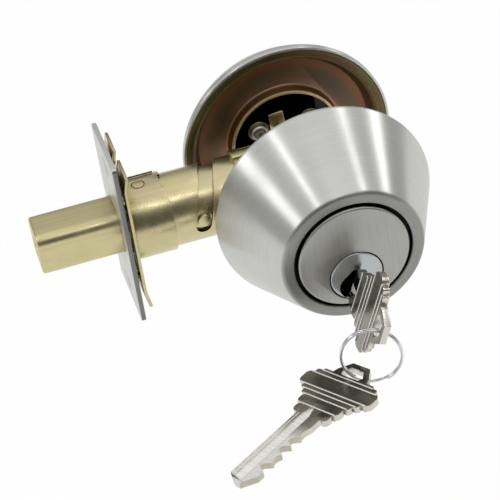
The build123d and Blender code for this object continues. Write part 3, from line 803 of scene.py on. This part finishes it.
class LOCK_OT_ring(bpy.types.Operator):
    """Winds the split ring: one coil, a step to the next, and a second coil"""

    bl_idname = "lock.ring"
    bl_label = "Split ring"

    def execute(self, context):
        size = context.scene.lock_shapes
        deselect()
        bpy.ops.mesh.primitive_circle_add(
            vertices=WIRE_SIDES, radius=size.ring_wire, location=(size.ring_radius, 0, -size.ring_gap),
            rotation=(math.pi / 2, 0, 0))
        piece = context.object
        piece.name = "split_ring"
        bpy.ops.object.transform_apply(location=True, rotation=True, scale=True)
        bpy.ops.object.mode_set(mode="EDIT")
        bpy.ops.mesh.select_all(action="SELECT")
        about = {"center": (0, 0, 0), "axis": (0, 0, 1)}
        coil_angle = 2 * math.pi - RING_STEP
        bpy.ops.mesh.spin(steps=RING_COIL_STEPS, angle=coil_angle, **about)
        before = 0.0
        for i in range(1, RING_STEP_COUNT + 1):
            rise = 0.5 - 0.5 * math.cos(math.pi * i / RING_STEP_COUNT)
            bpy.ops.mesh.spin(steps=1, angle=RING_STEP / RING_STEP_COUNT, **about)
            bpy.ops.transform.translate(value=(0, 0, 2 * size.ring_gap * (rise - before)))
            before = rise
        bpy.ops.mesh.spin(steps=RING_COIL_STEPS, angle=coil_angle, **about)
        bpy.ops.mesh.select_all(action="SELECT")
        bpy.ops.mesh.fill_holes(sides=WIRE_SIDES)
        tidy_edit()
        bpy.ops.object.mode_set(mode="OBJECT")
        facing = RING_AXIS.to_track_quat("Z", "Y").to_matrix().to_4x4()
        piece.matrix_world = Matrix.Translation(RING_MIDDLE) @ facing @ Matrix.Rotation(RING_ROLL, 4, "Z")
        bpy.ops.object.transform_apply(location=True, rotation=True, scale=True)
        bpy.ops.object.shade_smooth_by_angle(angle=math.radians(50))
        wear(piece, FINISH["ring"])
        stand_for(piece, "key_ring")
        return {"FINISHED"}


class LOCK_OT_inner_finish(bpy.types.Operator):
    """Gives the pieces inside the lock their finishes"""

    bl_idname = "lock.inner_finish"
    bl_label = "Inner pieces"

    def execute(self, context):
        for finish, nodes in (
                ("steel", ("collar_ring", "chamber_cover", "pin_springs", "tailpiece_cap", "plug_clip",
                           "plug_driver", "tail_rivet", "thumbturn_clip", "tailpiece", "cam_pin")),
                ("brass", ("driver_pins", "key_pins")),
                ("gold", ("bolt_tail", "bolt_cam"))):
            for node in nodes:
                finish_node(node, FINISH[finish])
        return {"FINISHED"}


class LOCK_OT_stage(bpy.types.Operator):
    """Sets the floor, the lamps and the camera"""

    bl_idname = "lock.stage"
    bl_label = "Stage"

    def execute(self, context):
        stage = context.scene.lock_stage
        context.scene.view_settings.view_transform = "Standard"
        self.floor(CAD_BOX[0][2] - stage.floor_drop)
        self.world(context.scene)
        for name, direction, length, width, power in (
                ("Left window", (-0.850, 0.130, 0.510), 0.90, 0.24, 1.4),
                ("Left strip", (-0.448, 0.084, 0.890), 0.90, 0.05, 0.7),
                ("Right strip", (0.555, 0.142, 0.819), 0.90, 0.05, 0.7),
                ("Right window", (0.863, 0.264, 0.434), 0.90, 0.16, 1.2),
                ("Front strip", (0.200, -0.490, 0.850), 0.09, 0.70, 0.8)):
            self.lamp(context, name, Vector(direction).normalized(), length, width, power)
        self.camera(context, stage)
        return {"FINISHED"}

    def seen(self, tree):
        """1 for rays from the camera and for those that gloss or glass send on."""
        path = add(tree, "ShaderNodeLightPath")
        rays = maths(tree, "MAXIMUM", path.outputs["Is Camera Ray"], path.outputs["Is Glossy Ray"])
        return maths(tree, "MAXIMUM", rays, path.outputs["Is Transmission Ray"])

    def floor(self, height):
        deselect()
        bpy.ops.mesh.primitive_plane_add(size=FLOOR_SIZE, location=(0, 0, height))
        sheet = bpy.context.object
        sheet.name = "floor"
        bpy.ops.object.transform_apply(location=True, rotation=True, scale=True)
        material, tree, shader = new_material("Pale floor", (0.88, 0.88, 0.88))[:3]
        shader.inputs["Base Color"].default_value = (0.88, 0.88, 0.88, 1.0)
        shader.inputs["Roughness"].default_value = 0.9
        glow = add(tree, "ShaderNodeEmission", {"Color": (1, 1, 1, 1), "Strength": 1.0})
        white = maths(tree, "MULTIPLY", self.seen(tree), FLOOR_WHITE)
        blend = add(tree, "ShaderNodeMixShader", {0: white, 1: shader.outputs[0], 2: glow.outputs[0]})
        tree.links.new(blend.outputs[0], tree.nodes["Material Output"].inputs["Surface"])
        wear(sheet, material)

    def world(self, scene):
        """A pale room with a dark wall in front and one behind, above the floor."""
        world = bpy.data.worlds.new("Studio")
        scene.world = world
        world.use_nodes = True
        tree = world.node_tree
        tree.nodes.clear()
        place = add(tree, "ShaderNodeTexCoord").outputs["Generated"]
        toward = add(tree, "ShaderNodeSeparateXYZ", {0: place}).outputs
        away, up = toward[1], toward[2]
        room = ramp(tree, up, [(0.0, (0.50,) * 3), (0.45, (0.60,) * 3), (0.92, (0.94,) * 3)])
        behind = maths(tree, "MULTIPLY", step(tree, away, 0.50, 0.72), step(tree, up, 0.52, 0.40))
        before = maths(tree, "MULTIPLY", step(tree, away, -0.36, -0.60), step(tree, up, 0.80, 0.68))
        tone = mixed(tree, behind, room, (0.33,) * 3)
        tone = mixed(tree, before, tone, (0.13,) * 3)
        studio = add(tree, "ShaderNodeBackground", {"Color": tone, "Strength": 1.0})
        output = tree.nodes.new("ShaderNodeOutputWorld")
        tree.links.new(studio.outputs[0], output.inputs["Surface"])

    def lamp(self, context, name, direction, length, width, power):
        """Area lamp whose long side runs front to back."""
        data = bpy.data.lights.new(name, "AREA")
        data.shape = "RECTANGLE"
        data.size = length
        data.size_y = width
        data.energy = power
        lamp = bpy.data.objects.new(name, data)
        context.collection.objects.link(lamp)
        along = Vector((0, 1, 0))
        along = (along - direction * along.dot(direction)).normalized()
        axes = Matrix((along, direction.cross(along), direction)).transposed()
        lamp.matrix_world = Matrix.Translation(direction * LAMP_DISTANCE) @ axes.to_4x4()

    def camera(self, context, stage):
        data = bpy.data.cameras.new("Camera")
        data.lens = stage.lens
        data.sensor_width = 36.0
        data.clip_start = 0.01
        camera = bpy.data.objects.new("Camera", data)
        context.collection.objects.link(camera)
        camera.location = stage.camera_place
        camera.rotation_euler = stage.camera_turn
        context.scene.camera = camera


OPERATORS = (LOCK_OT_finishes, LOCK_OT_collar, LOCK_OT_rose, LOCK_OT_latch, LOCK_OT_cylinder, LOCK_OT_keys,
             LOCK_OT_ring, LOCK_OT_inner_finish, LOCK_OT_stage)


class LOCK_PT_panel(bpy.types.Panel):
    bl_label = "Deadbolt lock"
    bl_idname = "LOCK_PT_panel"
    bl_space_type = "VIEW_3D"
    bl_region_type = "UI"
    bl_category = "Lock"

    def draw(self, context):
        for operator in OPERATORS:
            self.layout.operator(operator.bl_idname)


CLASSES = (LockShapes, LockFinishes, LockStage, *OPERATORS, LOCK_PT_panel)


def register():
    for cls in CLASSES:
        bpy.utils.register_class(cls)
    bpy.types.Scene.lock_shapes = PointerProperty(type=LockShapes)
    bpy.types.Scene.lock_finishes = PointerProperty(type=LockFinishes)
    bpy.types.Scene.lock_stage = PointerProperty(type=LockStage)


def unregister():
    del bpy.types.Scene.lock_stage
    del bpy.types.Scene.lock_finishes
    del bpy.types.Scene.lock_shapes
    for cls in reversed(CLASSES):
        bpy.utils.unregister_class(cls)


def main():
    register()
    bpy.ops.lock.finishes()
    bpy.ops.lock.collar()
    bpy.ops.lock.rose()
    bpy.ops.lock.latch()
    bpy.ops.lock.cylinder()
    bpy.ops.lock.keys()
    bpy.ops.lock.ring()
    bpy.ops.lock.inner_finish()
    bpy.ops.lock.stage()


if __name__ == "__main__":
    main()
